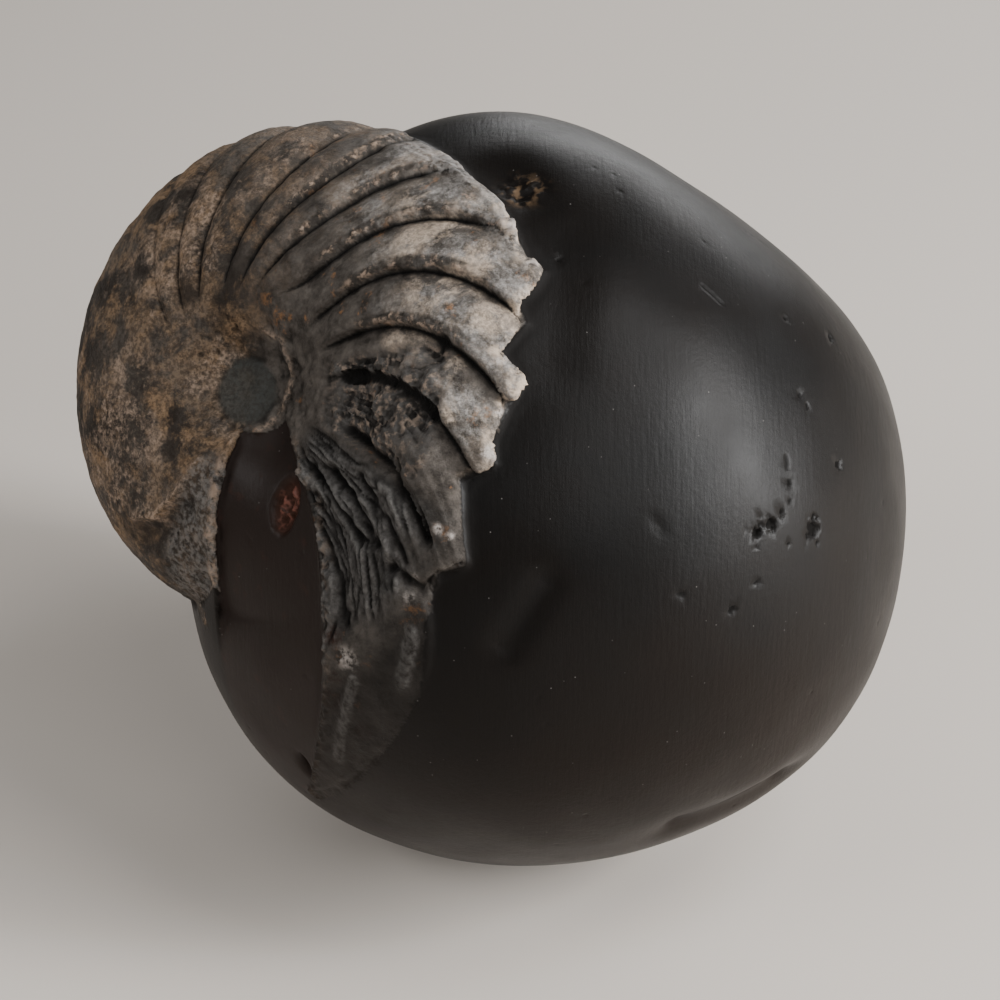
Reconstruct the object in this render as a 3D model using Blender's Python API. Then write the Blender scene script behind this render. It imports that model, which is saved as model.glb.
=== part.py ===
# Fossil ammonite: a smooth black nodule with a ribbed coil standing out of its upper left side.
# Metres, +Z up, origin at the bottom centre of the bounding box.
import math

import bmesh
import bpy
import numpy as np
from mathutils import Vector, noise

# Nodule: centre, half sizes, and swells as direction, height and spread in degrees
STONE_CENTRE = np.array((0.0068, -0.0001, 0.0681))
STONE_HALF = np.array((0.0616, 0.0660, 0.0702))
STONE_SWELLS = [
    ((0.94, 0.18, 0.29), 0.0051, 24),
    ((0.53, 0.45, 0.72), -0.0071, 18),
    ((0.21, 0.52, 0.83), -0.0014, 18),
    ((-0.17, 0.52, 0.84), 0.0027, 24),
    ((0.87, -0.27, -0.42), 0.0064, 24),
    ((0.42, -0.48, -0.77), -0.0017, 24),
    ((-0.17, -0.52, -0.84), -0.0023, 24),
    ((-0.77, -0.34, -0.54), 0.0032, 24),
]

# Coil: hub and axis. Angles run clockwise from uphill, seen from outside.
HUB = np.array((-0.0411, -0.0243, 0.1059))
COIL_AXIS = np.array((-0.50, -0.72, 0.48))
COIL_START = -182
COIL_END = 165
# angle and radius of the whorl, then of its outer edge where that is broken into cusps
WHORL_RADII = [
    (-182, 0.0415), (-160, 0.0460), (-130, 0.0507), (-90, 0.0530), (-60, 0.0513), (-20, 0.0480), (10, 0.0472),
    (30, 0.0500), (50, 0.0530), (80, 0.0515), (95, 0.0495), (110, 0.0525), (130, 0.0590), (165, 0.0700),
]
EDGE_RADII = [
    (30, 0.0503), (39, 0.0522), (47, 0.0532), (51, 0.0540), (54, 0.0562), (57, 0.0545), (59, 0.0522),
    (63, 0.0535), (68, 0.0498), (73, 0.0534), (78, 0.0518), (84, 0.0508), (88, 0.0518), (92, 0.0480),
    (99, 0.0505), (106, 0.0540), (111, 0.0510), (119, 0.0524), (129, 0.0588), (143, 0.0633), (165, 0.0700),
]
# section of the whorl as radius and height in whorl radii, from the hub over the rim to the back
FREE_SECTION = [
    (0, -0.10), (0.10, -0.10), (0.17, -0.07), (0.24, -0.02), (0.34, 0.01), (0.50, 0.0), (0.66, -0.05),
    (0.82, -0.15), (0.94, -0.30), (1.0, -0.50), (0.96, -0.70), (0.84, -0.88), (0.6, -1.05), (0, -1.15),
]
SET_SECTION = [
    (0, -0.10), (0.10, -0.10), (0.17, -0.07), (0.24, -0.02), (0.34, 0.01), (0.50, 0.0), (0.70, -0.02),
    (0.90, -0.04), (0.985, -0.06), (1.0, -0.12), (0.98, -0.20), (0.9, -0.4), (0.6, -0.7), (0, -0.8),
]
SECTION_POINTS = 90
SECTION_RIM = 56
EDGE_STEP = 0.0025
FAN_STEP = 0.0008
SEAM_STEP = 0.0020
WEDGE_STEP = 0.0014
WEDGE_TIP = (0.006, 0.011)
SHELL_SINK = 0.0015

# Ribs: angle of each groove at the middle radius, and how deep it is
RIB_MIDDLE = 0.036
RIB_GROOVES = [
    (-182, 0.0001), (-168, 0.0001), (-154, 0.0001), (-140, 0.0001), (-126, 0.0001), (-112, 0.0001),
    (-98, 0.0001), (-84, 0.0001), (-70, 0.0002), (-56, 0.0003), (-43, 0.0005), (-30, 0.0008), (-11, 0.0010),
    (1, 0.0011), (13.5, 0.0012), (27.5, 0.0015), (43, 0.0015), (59.5, 0.0016), (76, 0.0012), (94, 0.0004),
]

RIB_SPAN = (0.014, 0.022)

# Ledges, grooves and pits, placed by radius in metres and angle in degrees about the hub
PLUG = (0.0026, -123)
PLUG_RADIUS = 0.0056
PLUG_HEIGHT = 0.0009
RUST_PIT = (0.0227, 136)
RUST_PIT_HALF = (0.0032, 0.0052)
RUST_PIT_DEPTH = 0.0014
FLANK_RIDGE = [(0.0342, -146), (0.0286, -156), (0.0212, -160), (0.0174, -166)]
CRUST_RADII = (0.015, 0.043)
CRUST_ANGLES = (62, 96)
CRUST_DEPTH = 0.0012
STREAK_PITCH = 7.0
STREAK_DEPTH = 0.0007

# Marks on the nodule as offsets from its centre, with their width and depth
BIG_PITS = [
    ((0.0363, -0.0483, 0.0256), 0.0021, 0.0010),
    ((0.0451, -0.0422, 0.0213), 0.0017, 0.0009),
    ((-0.0387, -0.0488, -0.0220), 0.0022, 0.0014),
]
TROUGHS = [
    ((-0.0044, -0.0646, 0.0137), (0.0014, -0.0622, 0.0236), 0.0030, 0.0008),
    ((0.0250, -0.0524, -0.0315), (0.0426, -0.0429, -0.0298), 0.0055, 0.0020),
    ((0.0043, -0.0253, 0.0648), (0.0040, -0.0433, 0.0528), 0.0060, 0.0010),
    ((-0.0053, -0.0106, 0.0695), (-0.0020, -0.0150, 0.0680), 0.0070, 0.0016),
]

VOXEL = 0.0011
FACES = 9600
FOOT_CUT = 0.0012
BLACK_STONE = (0.022, 0.020, 0.018, 1)
STONE_ROUGHNESS = 0.42


def unit(vector):
    return np.array(vector, float) / np.linalg.norm(vector)


def smooth(value, low, high):
    t = np.clip((value - low) / (high - low), 0, 1)
    return t * t * (3 - 2 * t)


def between(value, low, high, blend):
    return smooth(value, low - blend, low + blend) * (1 - smooth(value, high - blend, high + blend))


COIL_AXIS = unit(COIL_AXIS)
UPHILL = unit(np.array((0, 0, 1)) - COIL_AXIS * COIL_AXIS[2])
ACROSS = np.cross(UPHILL, COIL_AXIS)


def stone_radius(directions):
    radius = 1 / np.sqrt(((directions / STONE_HALF) ** 2).sum(-1))
    for swell_direction, height, spread in STONE_SWELLS:
        cosine = np.clip(directions @ unit(swell_direction), -1, 1)
        radius = radius + height * np.exp(-0.5 * (np.degrees(np.arccos(cosine)) / spread) ** 2)
    return radius


def stone_gap(points):
    offset = points - STONE_CENTRE
    distance = np.linalg.norm(offset, axis=-1)
    return distance - stone_radius(offset / distance[..., None])


def coil_point(radius, angle, height):
    turn = np.radians(angle)
    return (HUB + (radius * np.cos(turn))[..., None] * UPHILL + (radius * np.sin(turn))[..., None] * ACROSS
            + height[..., None] * COIL_AXIS)


def coil_place(points):
    offset = points - HUB
    across = offset @ ACROSS
    uphill = offset @ UPHILL
    angle = np.degrees(np.arctan2(across, uphill))
    angle = np.where(angle > COIL_START + 360, angle - 360, angle)
    return np.hypot(across, uphill), angle, offset @ COIL_AXIS


def stone_height(radius, angle):
    # height of the bare nodule above the coil's plane, found by stepping in from outside
    top, bottom, step = 0.060, -0.060, 0.002
    found = np.full(radius.shape, bottom)
    done = np.zeros(radius.shape, bool)
    before = stone_gap(coil_point(radius, angle, np.full(radius.shape, top)))
    for height in np.arange(top - step, bottom, -step):
        gap = stone_gap(coil_point(radius, angle, np.full(radius.shape, height)))
        hit = ~done & (gap <= 0)
        part = before / np.maximum(before - gap, 1e-9)
        found = np.where(hit, height + step * (1 - part), found)
        done |= hit
        before = gap
    return found


def section(points):
    # the section's corners, evenly spread and rounded off
    corners = np.array(points)
    place = np.linspace(0, len(corners) - 1, SECTION_POINTS)
    curve = np.stack([np.interp(place, np.arange(len(corners)), corners[:, k]) for k in (0, 1)], -1)
    for _ in range(SECTION_POINTS // 6):
        curve[1:-1] = (curve[:-2] + 2 * curve[1:-1] + curve[2:]) / 4
    return curve


FREE_CURVE = section(FREE_SECTION)
SET_CURVE = section(SET_SECTION)


def whorl_radius(angle):
    angles, radii = np.array(WHORL_RADII).T
    reach = np.linspace(-12, 12, 9)
    return np.mean([np.interp(angle + shift, angles, radii) for shift in reach], axis=0)


def edge_radius(angle):
    # the broken edge follows its own cusps, the free whorl is round
    angles, radii = np.array(EDGE_RADII).T
    return whorl_radius(angle) + (np.interp(angle, angles, radii) - whorl_radius(angle)) * smooth(angle, 20, 35)


def set_in(angle):
    # 0 where the whorl stands free on the left, 1 where its edge lies on the nodule
    return smooth(angle, -15, 45)


def edge_step(angle):
    return EDGE_STEP + (FAN_STEP - EDGE_STEP) * smooth(angle, 95, 130)


def flank_height(radius, angle, stone):
    whorl = whorl_radius(angle)
    share = np.clip(radius / whorl, 0, 1)
    lay = set_in(angle)
    free = np.interp(share, FREE_CURVE[:SECTION_RIM, 0], FREE_CURVE[:SECTION_RIM, 1])
    laid = np.interp(share, SET_CURVE[:SECTION_RIM, 0], SET_CURVE[:SECTION_RIM, 1])
    follow = smooth(share, 0.25, 0.85) * lay
    own = (free * (1 - lay) + laid * lay) * whorl
    return (1 - follow) * own + follow * (stone + edge_step(angle))


def wedge_edge(radius):
    # angle at which the broken fan ends and the smooth wedge begins
    return np.minimum(117 + 200 * radius + 7000 * radius ** 2, COIL_END)


def make_coil():
    columns = np.arange(COIL_START, COIL_END + 1, 1.5)
    angle, row = np.meshgrid(columns, np.arange(SECTION_POINTS), indexing="ij")
    lay = set_in(angle)[..., None]
    curve = FREE_CURVE[None] * (1 - lay) + SET_CURVE[None] * lay
    ragged = (edge_radius(angle) - whorl_radius(angle)) * smooth(curve[..., 0], 0.7, 1.0)
    radius = curve[..., 0] * whorl_radius(angle) + ragged
    lean = smooth(angle, 100, COIL_END)
    angle = angle + lean * (wedge_edge(radius) - COIL_END)
    own = curve[..., 1] * whorl_radius(angle)
    flank = flank_height(radius, angle, stone_height(radius, angle))
    rim_shift = (flank - own)[:, SECTION_RIM - 1:SECTION_RIM]
    height = np.where(row < SECTION_RIM, flank, own + rim_shift)
    points = coil_point(radius, angle, height)
    mesh = bmesh.new()
    head = mesh.verts.new(points[:, 0].mean(0))
    tail = mesh.verts.new(points[:, -1].mean(0))
    rings = [[head] + [mesh.verts.new(point) for point in line[1:-1]] + [tail] for line in points]
    for first, second in zip(rings, rings[1:]):
        for k in range(SECTION_POINTS - 1):
            corners = dict.fromkeys((first[k], first[k + 1], second[k + 1], second[k]))
            mesh.faces.new(list(corners))
    mesh.faces.new(rings[0])
    mesh.faces.new(rings[-1])
    bmesh.ops.triangulate(mesh, faces=mesh.faces[:])
    bmesh.ops.recalc_face_normals(mesh, faces=mesh.faces[:])
    return mesh


def make_stone():
    mesh = bmesh.new()
    bmesh.ops.create_icosphere(mesh, subdivisions=7, radius=1)
    directions = np.array([vertex.co for vertex in mesh.verts])
    directions /= np.linalg.norm(directions, axis=1)[:, None]
    points = STONE_CENTRE + directions * stone_radius(directions)[:, None]
    radius, angle, height = coil_place(points)
    on_coil = np.minimum(angle, COIL_END)
    lay = set_in(on_coil)
    # the nodule keeps just under the coil's flank and leaves a shallow gutter round its laid edge
    reach = edge_radius(on_coil) * (0.75 + 0.22 * lay)
    flank = flank_height(radius, on_coil, height)
    floor = flank - SHELL_SINK + np.maximum(radius - reach, 0) * (3 - 1.9 * lay)
    bed = np.where((height > -0.03) & (radius < reach + 0.03), np.minimum(height, floor), height)
    # the smooth wedge runs from the fan to the seam of the free whorl
    seam_flank = flank_height(radius, np.full(radius.shape, float(COIL_START)), height)
    opened = smooth(radius, *WEDGE_TIP)
    seam_side = height + (seam_flank - SEAM_STEP * opened - height) * (1 - smooth(radius, 0.022, 0.050))
    fan_side = height + (flank - WEDGE_STEP * opened - height) * (1 - smooth(radius, 0.050, 0.070))
    across = smooth(angle, wedge_edge(radius) - 2, COIL_START + 360)
    wedge = fan_side + (seam_side - fan_side) * across
    in_wedge = (angle > wedge_edge(radius) - 2) & (height > -0.03) & (radius < 0.072)
    points = points + (np.where(in_wedge, wedge, bed) - height)[:, None] * COIL_AXIS
    for vertex, point in zip(mesh.verts, points):
        vertex.co = point
    return mesh


def rib_place(radius, angle):
    # the ribs sweep forward towards the rim, the rear ones less and less
    offset = radius - RIB_MIDDLE
    bend = (-20 + 42 * smooth(angle, 0, 30)) * offset * abs(offset) * np.sign(offset) * 1000
    middle = angle - (750 * offset + bend)
    grooves = np.array([groove for groove, _ in RIB_GROOVES])
    return np.interp(middle, grooves, np.arange(len(grooves)))


def ribs(radius, angle):
    place = rib_place(radius, angle)
    number = np.floor(place).astype(int)
    share = place - number
    depths = np.array([depth for _, depth in RIB_GROOVES] + [0.0])
    depth = depths[number] * (1 - share) + depths[number + 1] * share
    # each rib is a plate that rises slowly and falls off sharply into the next groove
    lean = 0.5 + 0.22 * smooth(angle, 0, 40)
    rise = np.where(share < lean, share / lean, (1 - share) / (1 - lean))
    plate = np.sin(np.clip(rise, 0, 1) * math.pi / 2) ** 0.8
    inner = smooth(radius, *RIB_SPAN)
    return depth * (plate - 0.65) * 1.5 * inner * ((place > 0) & (number < len(RIB_GROOVES) - 1))


def around_hub(radius, angle):
    turn = np.radians(angle)
    return np.stack([radius * np.sin(turn), radius * np.cos(turn)], -1)


def segment_distance(points, start, end):
    start = np.array(start)
    along = np.array(end) - start
    share = np.clip((points - start) @ along / max(along @ along, 1e-12), 0, 1)
    return np.linalg.norm(points - start - share[..., None] * along, axis=-1)


def rough(points, scale, seed):
    return np.array([noise.fractal(Vector(point) * scale + Vector((seed, 0, 0)), 1.0, 2.0, 3) for point in points])


def coil_relief(points, radius, angle):
    flat = around_hub(radius, angle)
    height = ribs(radius, angle)
    # the hub's plug is a low disc with a groove round it
    plug = np.linalg.norm(flat - around_hub(*PLUG), axis=-1)
    height = height + PLUG_HEIGHT * (1 - smooth(plug, 0.8 * PLUG_RADIUS, PLUG_RADIUS))
    height = height - 0.6 * PLUG_HEIGHT * np.exp(-((plug - 1.15 * PLUG_RADIUS) / 0.0007) ** 2)
    ridge = np.min([segment_distance(flat, around_hub(*first), around_hub(*second))
                    for first, second in zip(FLANK_RIDGE, FLANK_RIDGE[1:])], axis=0)
    height = height + 0.0007 * np.exp(-(ridge / 0.0010) ** 2)
    # a lip runs along the seam where the free whorl ends
    seam = radius * np.radians(angle - COIL_START)
    height = height + 0.0005 * np.exp(-(seam / 0.0018) ** 2) * smooth(radius, 0.006, 0.012)
    # shell has spalled off between the lower ribs and the fan
    crust = between(radius, *CRUST_RADII, 0.0012) * between(angle, *CRUST_ANGLES, 2.5)
    height = height - crust * (CRUST_DEPTH + 0.0009 * rough(points, 180, 3))
    fan = smooth(angle, 98, 104) * smooth(radius, 0.014, 0.020)
    lines = (angle - 1350 * np.maximum(radius - 0.038, 0)) / STREAK_PITCH + 0.35 * rough(points, 60, 7)
    streaks = np.abs((lines % 1) - 0.5) * 2
    return height + fan * (STREAK_DEPTH * (streaks - 0.5) + 0.0006 * rough(points, 130, 11))


def stone_relief(points, radius, angle):
    offset = points - STONE_CENTRE
    height = np.zeros(len(points))
    for place, half_width, depth in BIG_PITS:
        height = height - depth * np.exp(-(np.linalg.norm(offset - place, axis=-1) / half_width) ** 4)
    for start, end, half_width, depth in TROUGHS:
        height = height - depth * np.exp(-(segment_distance(offset, start, end) / half_width) ** 2)
    pit = (around_hub(radius, angle) - around_hub(*RUST_PIT)) / RUST_PIT_HALF
    in_front = (offset @ COIL_AXIS > 0) & (radius < 0.04)
    return height - RUST_PIT_DEPTH * np.exp(-np.linalg.norm(pit, axis=-1) ** 4) * in_front


def carve(data):
    count = len(data.vertices)
    points = np.empty(3 * count)
    data.vertices.foreach_get("co", points)
    points = points.reshape(-1, 3)
    normals = np.empty(3 * count)
    data.vertex_normals.foreach_get("vector", normals)
    normals = normals.reshape(-1, 3)
    radius, angle, height = coil_place(points)
    held = np.minimum(angle, COIL_END)
    flank = flank_height(radius, held, stone_height(radius, held))
    on_flank = (np.abs(height - flank) < 0.0012) & (radius < 1.02 * edge_radius(held))
    free = (stone_gap(points) > 0.0015) & (radius < 0.056) & (angle < 45)
    in_hub = (radius < 0.0078) & (height > -0.02)
    on_coil = ((on_flank | free) & (angle < wedge_edge(radius))) | in_hub
    relief = np.where(on_coil, coil_relief(points, radius, angle), stone_relief(points, radius, angle))
    points = points + relief[:, None] * normals
    data.vertices.foreach_set("co", points.ravel())
    data.update()


def to_object(name, mesh):
    data = bpy.data.meshes.new(name)
    mesh.to_mesh(data)
    mesh.free()
    item = bpy.data.objects.new(name, data)
    bpy.context.scene.collection.objects.link(item)
    return item


def modified(item, kind, **settings):
    # the mesh of the object with one modifier applied
    modifier = item.modifiers.new(kind.title(), kind)
    for key, value in settings.items():
        setattr(modifier, key, value)
    bpy.context.view_layer.update()
    data = bpy.data.meshes.new_from_object(item.evaluated_get(bpy.context.evaluated_depsgraph_get()))
    item.modifiers.clear()
    return data


def stand(data):
    # a flat spot is cut under the nodule, and the bottom centre of its box is put on the origin
    mesh = bmesh.new()
    mesh.from_mesh(data)
    lowest = min(vertex.co.z for vertex in mesh.verts)
    level = Vector((0, 0, lowest + FOOT_CUT))
    geometry = mesh.verts[:] + mesh.edges[:] + mesh.faces[:]
    cut = bmesh.ops.bisect_plane(mesh, geom=geometry, plane_co=level, plane_no=(0, 0, -1), clear_outer=True)
    rim = [edge for edge in cut["geom_cut"] if isinstance(edge, bmesh.types.BMEdge)]
    bmesh.ops.contextual_create(mesh, geom=rim)
    bmesh.ops.recalc_face_normals(mesh, faces=mesh.faces[:])
    places = np.array([vertex.co for vertex in mesh.verts])
    low, high = places.min(0), places.max(0)
    bottom_centre = Vector(((low[0] + high[0]) / 2, (low[1] + high[1]) / 2, low[2]))
    bmesh.ops.translate(mesh, verts=mesh.verts[:], vec=-bottom_centre)
    mesh.to_mesh(data)
    mesh.free()


def stone_material():
    material = bpy.data.materials.new("black_stone")
    material.use_nodes = True
    shader = material.node_tree.nodes["Principled BSDF"]
    shader.inputs["Base Color"].default_value = BLACK_STONE
    shader.inputs["Roughness"].default_value = STONE_ROUGHNESS
    shader.inputs["Metallic"].default_value = 0
    return material


def main():
    for item in list(bpy.data.objects):
        bpy.data.objects.remove(item)
    whole = make_stone()
    coil = bpy.data.meshes.new("coil")
    make_coil().to_mesh(coil)
    whole.from_mesh(coil)
    item = to_object("ammonite_nodule", whole)
    item.data = modified(item, "REMESH", mode="VOXEL", voxel_size=VOXEL)
    item.data = modified(item, "SMOOTH", factor=0.5, iterations=3)
    carve(item.data)
    item.data = modified(item, "TRIANGULATE")
    item.data = modified(item, "DECIMATE", ratio=FACES / len(item.data.polygons))
    stand(item.data)
    item.data.shade_smooth()
    item.data.materials.clear()
    item.data.materials.append(stone_material())


main()
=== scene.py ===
import math

import bmesh
import bpy
import numpy as np
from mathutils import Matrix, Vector, noise


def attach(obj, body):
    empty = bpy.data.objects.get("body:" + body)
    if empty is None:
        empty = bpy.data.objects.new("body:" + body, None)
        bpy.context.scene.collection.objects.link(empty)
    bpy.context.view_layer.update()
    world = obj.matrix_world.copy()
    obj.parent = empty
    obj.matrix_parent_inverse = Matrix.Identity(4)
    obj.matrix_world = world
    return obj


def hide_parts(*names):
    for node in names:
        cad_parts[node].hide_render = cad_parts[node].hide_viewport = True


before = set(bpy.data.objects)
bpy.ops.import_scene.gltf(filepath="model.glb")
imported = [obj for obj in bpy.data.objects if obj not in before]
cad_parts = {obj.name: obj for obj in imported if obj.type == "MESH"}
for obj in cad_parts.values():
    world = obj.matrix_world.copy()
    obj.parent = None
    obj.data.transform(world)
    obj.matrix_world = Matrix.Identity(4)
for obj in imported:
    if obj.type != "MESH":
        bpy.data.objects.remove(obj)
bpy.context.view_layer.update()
print("frame loaded")

# the nodule: a swollen ellipsoid, metres, swells as direction, height and spread in degrees
noduleBody = {
    "centre": (0.0068, -0.0001, 0.0681),
    "half": (0.0616, 0.0660, 0.0702),
    "swells": [
        ((0.94, 0.18, 0.29), 0.0051, 24),
        ((0.53, 0.45, 0.72), -0.0071, 18),
        ((0.21, 0.52, 0.83), -0.0014, 18),
        ((-0.17, 0.52, 0.84), 0.0027, 24),
        ((0.87, -0.27, -0.42), 0.0064, 24),
        ((0.42, -0.48, -0.77), -0.0017, 24),
        ((-0.17, -0.52, -0.84), -0.0023, 24),
        ((-0.77, -0.34, -0.54), 0.0032, 24),
    ],
}

# the coil: angles run clockwise from uphill, seen from outside, radii in metres
coilBody = {
    "hub": (-0.0411, -0.0243, 0.1059),
    "axis": (-0.50, -0.72, 0.48),
    "start": -182,
    "end": 165,
    "whorl": [
        (-182, 0.0415), (-160, 0.0460), (-130, 0.0507), (-90, 0.0530), (-60, 0.0513), (-20, 0.0480), (10, 0.0472),
        (30, 0.0500), (50, 0.0530), (80, 0.0515), (95, 0.0495), (110, 0.0525), (130, 0.0590), (165, 0.0700),
    ],
    "edge": [
        (30, 0.0503), (39, 0.0522), (47, 0.0532), (51, 0.0540), (54, 0.0562), (57, 0.0545), (59, 0.0522),
        (63, 0.0535), (68, 0.0498), (73, 0.0534), (78, 0.0518), (84, 0.0508), (88, 0.0518), (92, 0.0480),
        (99, 0.0505), (106, 0.0540), (111, 0.0510), (119, 0.0524), (129, 0.0588), (143, 0.0633), (165, 0.0700),
    ],
    "freeSection": [
        (0, -0.10), (0.10, -0.10), (0.17, -0.07), (0.24, -0.02), (0.34, 0.01), (0.50, 0.0), (0.66, -0.05),
        (0.82, -0.15), (0.94, -0.30), (1.0, -0.50), (0.96, -0.70), (0.84, -0.88), (0.6, -1.05), (0, -1.15),
    ],
    "laidSection": [
        (0, -0.10), (0.10, -0.10), (0.17, -0.07), (0.24, -0.02), (0.34, 0.01), (0.50, 0.0), (0.70, -0.02),
        (0.90, -0.04), (0.985, -0.06), (1.0, -0.12), (0.98, -0.20), (0.9, -0.4), (0.6, -0.7), (0, -0.8),
    ],
    "sectionPoints": 90,
    "rimPoint": 56,
    "edgeStep": 0.0025,
    "fanStep": 0.0003,
    "seamStep": 0.0014,
    "wedgeStep": 0.0008,
    "wedgeTip": (0.006, 0.011),
    "shellSink": 0.0015,
}

# mesh: fine skin first, then thinned to what the detail needs
skin = {"voxel": 0.00042, "smoothing": 5, "triangles": 194000}


def unit(vector):
    return np.array(vector, float) / np.linalg.norm(vector)


def smooth(value, low, high):
    t = np.clip((value - low) / (high - low), 0, 1)
    return t * t * (3 - 2 * t)


def between(value, low, high, blend):
    return smooth(value, low - blend, low + blend) * (1 - smooth(value, high - blend, high + blend))


noduleCentre = np.array(noduleBody["centre"])
noduleHalf = np.array(noduleBody["half"])
hub = np.array(coilBody["hub"])
coilAxis = unit(coilBody["axis"])
uphill = unit(np.array((0, 0, 1)) - coilAxis * coilAxis[2])
across = np.cross(uphill, coilAxis)
coilStart, coilEnd = coilBody["start"], coilBody["end"]


def noduleRadius(directions):
    radius = 1 / np.sqrt(((directions / noduleHalf) ** 2).sum(-1))
    for direction, height, spread in noduleBody["swells"]:
        cosine = np.clip(directions @ unit(direction), -1, 1)
        radius = radius + height * np.exp(-0.5 * (np.degrees(np.arccos(cosine)) / spread) ** 2)
    return radius


def noduleGap(points):
    offset = points - noduleCentre
    distance = np.linalg.norm(offset, axis=-1)
    return distance - noduleRadius(offset / distance[..., None])


def coilPoint(radius, angle, height):
    turn = np.radians(angle)
    return (hub + (radius * np.cos(turn))[..., None] * uphill + (radius * np.sin(turn))[..., None] * across
            + height[..., None] * coilAxis)


def coilPlace(points):
    offset = points - hub
    x, y = offset @ across, offset @ uphill
    angle = np.degrees(np.arctan2(x, y))
    return np.hypot(x, y), np.where(angle > coilStart + 360, angle - 360, angle), offset @ coilAxis


def noduleHeight(radius, angle):
    # height of the bare nodule above the coil's plane, found by stepping in from outside
    top, bottom, step = 0.060, -0.060, 0.002
    found = np.full(radius.shape, bottom)
    done = np.zeros(radius.shape, bool)
    before = noduleGap(coilPoint(radius, angle, np.full(radius.shape, top)))
    for height in np.arange(top - step, bottom, -step):
        gap = noduleGap(coilPoint(radius, angle, np.full(radius.shape, height)))
        hit = ~done & (gap <= 0)
        found = np.where(hit, height + step * (1 - before / np.maximum(before - gap, 1e-9)), found)
        done |= hit
        before = gap
    return found


def section(corners):
    corners = np.array(corners)
    count = coilBody["sectionPoints"]
    place = np.linspace(0, len(corners) - 1, count)
    curve = np.stack([np.interp(place, np.arange(len(corners)), corners[:, k]) for k in (0, 1)], -1)
    for _ in range(count // 6):
        curve[1:-1] = (curve[:-2] + 2 * curve[1:-1] + curve[2:]) / 4
    return curve


freeCurve, laidCurve = section(coilBody["freeSection"]), section(coilBody["laidSection"])
rim = coilBody["rimPoint"]


def whorlRadius(angle):
    angles, radii = np.array(coilBody["whorl"]).T
    return np.mean([np.interp(angle + shift, angles, radii) for shift in np.linspace(-12, 12, 9)], axis=0)


def edgeRadius(angle):
    angles, radii = np.array(coilBody["edge"]).T
    return whorlRadius(angle) + (np.interp(angle, angles, radii) - whorlRadius(angle)) * smooth(angle, 20, 35)


def laidIn(angle):
    return smooth(angle, -15, 45)  # 0 on the free whorl at the left, 1 where the edge lies on the nodule


def edgeStep(angle):
    return coilBody["edgeStep"] + (coilBody["fanStep"] - coilBody["edgeStep"]) * smooth(angle, 95, 130)


def flankHeight(radius, angle, nodule):
    whorl = whorlRadius(angle)
    share = np.clip(radius / whorl, 0, 1)
    lay = laidIn(angle)
    free = np.interp(share, freeCurve[:rim, 0], freeCurve[:rim, 1])
    laid = np.interp(share, laidCurve[:rim, 0], laidCurve[:rim, 1])
    follow = smooth(share, 0.25, 0.85) * lay
    return (1 - follow) * (free * (1 - lay) + laid * lay) * whorl + follow * (nodule + edgeStep(angle))


def wedgeEdge(radius):
    return np.minimum(117 + 200 * radius + 7000 * radius ** 2, coilEnd)  # where the fan ends and the wedge begins


def coilMesh():
    angle, row = np.meshgrid(np.arange(coilStart, coilEnd + 1, 1.0), np.arange(coilBody["sectionPoints"]),
                             indexing="ij")
    lay = laidIn(angle)[..., None]
    curve = freeCurve[None] * (1 - lay) + laidCurve[None] * lay
    ragged = (edgeRadius(angle) - whorlRadius(angle)) * smooth(curve[..., 0], 0.7, 1.0)
    radius = curve[..., 0] * whorlRadius(angle) + ragged
    angle = angle + smooth(angle, 100, coilEnd) * (wedgeEdge(radius) - coilEnd)
    own = curve[..., 1] * whorlRadius(angle)
    flank = flankHeight(radius, angle, noduleHeight(radius, angle))
    points = coilPoint(radius, angle, np.where(row < rim, flank, own + (flank - own)[:, rim - 1:rim]))
    mesh = bmesh.new()
    head, tail = mesh.verts.new(points[:, 0].mean(0)), mesh.verts.new(points[:, -1].mean(0))
    rings = [[head] + [mesh.verts.new(point) for point in line[1:-1]] + [tail] for line in points]
    for first, second in zip(rings, rings[1:]):
        for k in range(len(first) - 1):
            mesh.faces.new(list(dict.fromkeys((first[k], first[k + 1], second[k + 1], second[k]))))
    mesh.faces.new(rings[0])
    mesh.faces.new(rings[-1])
    bmesh.ops.triangulate(mesh, faces=mesh.faces[:])
    bmesh.ops.recalc_face_normals(mesh, faces=mesh.faces[:])
    return mesh


def bedded(points):
    # the nodule's skin, let down under the coil and along the wedge
    radius, angle, height = coilPlace(points)
    held = np.minimum(angle, coilEnd)
    lay = laidIn(held)
    reach = edgeRadius(held) * (0.75 + 0.22 * lay)
    flank = flankHeight(radius, held, height)
    floor = flank - coilBody["shellSink"] + np.maximum(radius - reach, 0) * (3 - 1.9 * lay)
    bed = np.where((height > -0.03) & (radius < reach + 0.03), np.minimum(height, floor), height)
    seamFlank = flankHeight(radius, np.full(radius.shape, float(coilStart)), height)
    opened = smooth(radius, *coilBody["wedgeTip"])
    seamSide = height + (seamFlank - coilBody["seamStep"] * opened - height) * (1 - smooth(radius, 0.022, 0.050))
    fanSide = height + (flank - coilBody["wedgeStep"] * opened - height) * (1 - smooth(radius, 0.050, 0.070))
    wedge = fanSide + (seamSide - fanSide) * smooth(angle, wedgeEdge(radius) - 2, coilStart + 360)
    inWedge = (angle > wedgeEdge(radius) - 2) & (height > -0.03) & (radius < 0.072)
    return points + (np.where(inWedge, wedge, bed) - height)[:, None] * coilAxis


def noduleMesh():
    mesh = bmesh.new()
    bmesh.ops.create_icosphere(mesh, subdivisions=8, radius=1)
    directions = np.array([vertex.co for vertex in mesh.verts])
    directions /= np.linalg.norm(directions, axis=1)[:, None]
    points = bedded(noduleCentre + directions * noduleRadius(directions)[:, None])
    for vertex, point in zip(mesh.verts, points):
        vertex.co = point
    return mesh


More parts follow.
